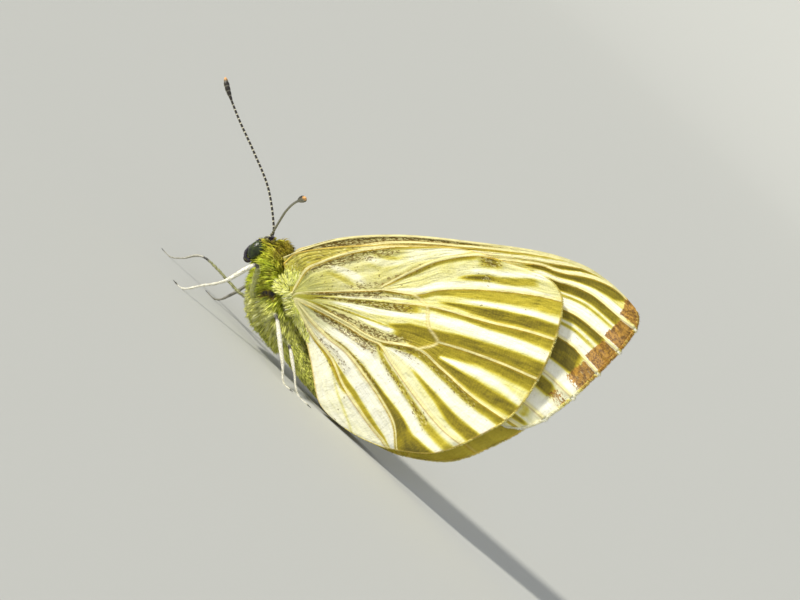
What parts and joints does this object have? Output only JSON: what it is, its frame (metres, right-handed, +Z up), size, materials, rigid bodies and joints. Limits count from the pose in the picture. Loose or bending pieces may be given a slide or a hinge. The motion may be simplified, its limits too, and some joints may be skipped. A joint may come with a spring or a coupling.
{
  "type": "white butterfly",
  "caption": "Life-size still model of a white butterfly at rest, with its wings closed over its back and its feelers raised.",
  "frame": {"origin": "middle of the base of the model's box, on the floor that the feet stand on", "axes": "+Z up from the floor, head and feelers towards -X, wing tips towards +X, the animal's left side towards -Y"},
  "size_m": [0.0344, 0.0144, 0.0209],
  "materials": {
    "body_fur": "matte",
    "eye": "satin",
    "tongue": "satin",
    "feeler": "satin",
    "leg": "satin",
    "forewing": "matte",
    "hindwing": "matte"
  },
  "bodies": {
    "root": {"head": "body_fur", "thorax": "body_fur", "abdomen": "body_fur", "palp_left": "body_fur", "palp_right": "body_fur", "eye_left": "eye", "eye_right": "eye", "proboscis": "tongue", "antenna_left": "feeler", "antenna_right": "feeler", "leg_fore_left": "leg", "leg_fore_right": "leg", "leg_mid_left": "leg", "leg_mid_right": "leg", "leg_hind_left": "leg", "leg_hind_right": "leg", "forewing_left": "forewing", "forewing_right": "forewing", "hindwing_left": "hindwing", "hindwing_right": "hindwing"}
  },
  "joints": []
}
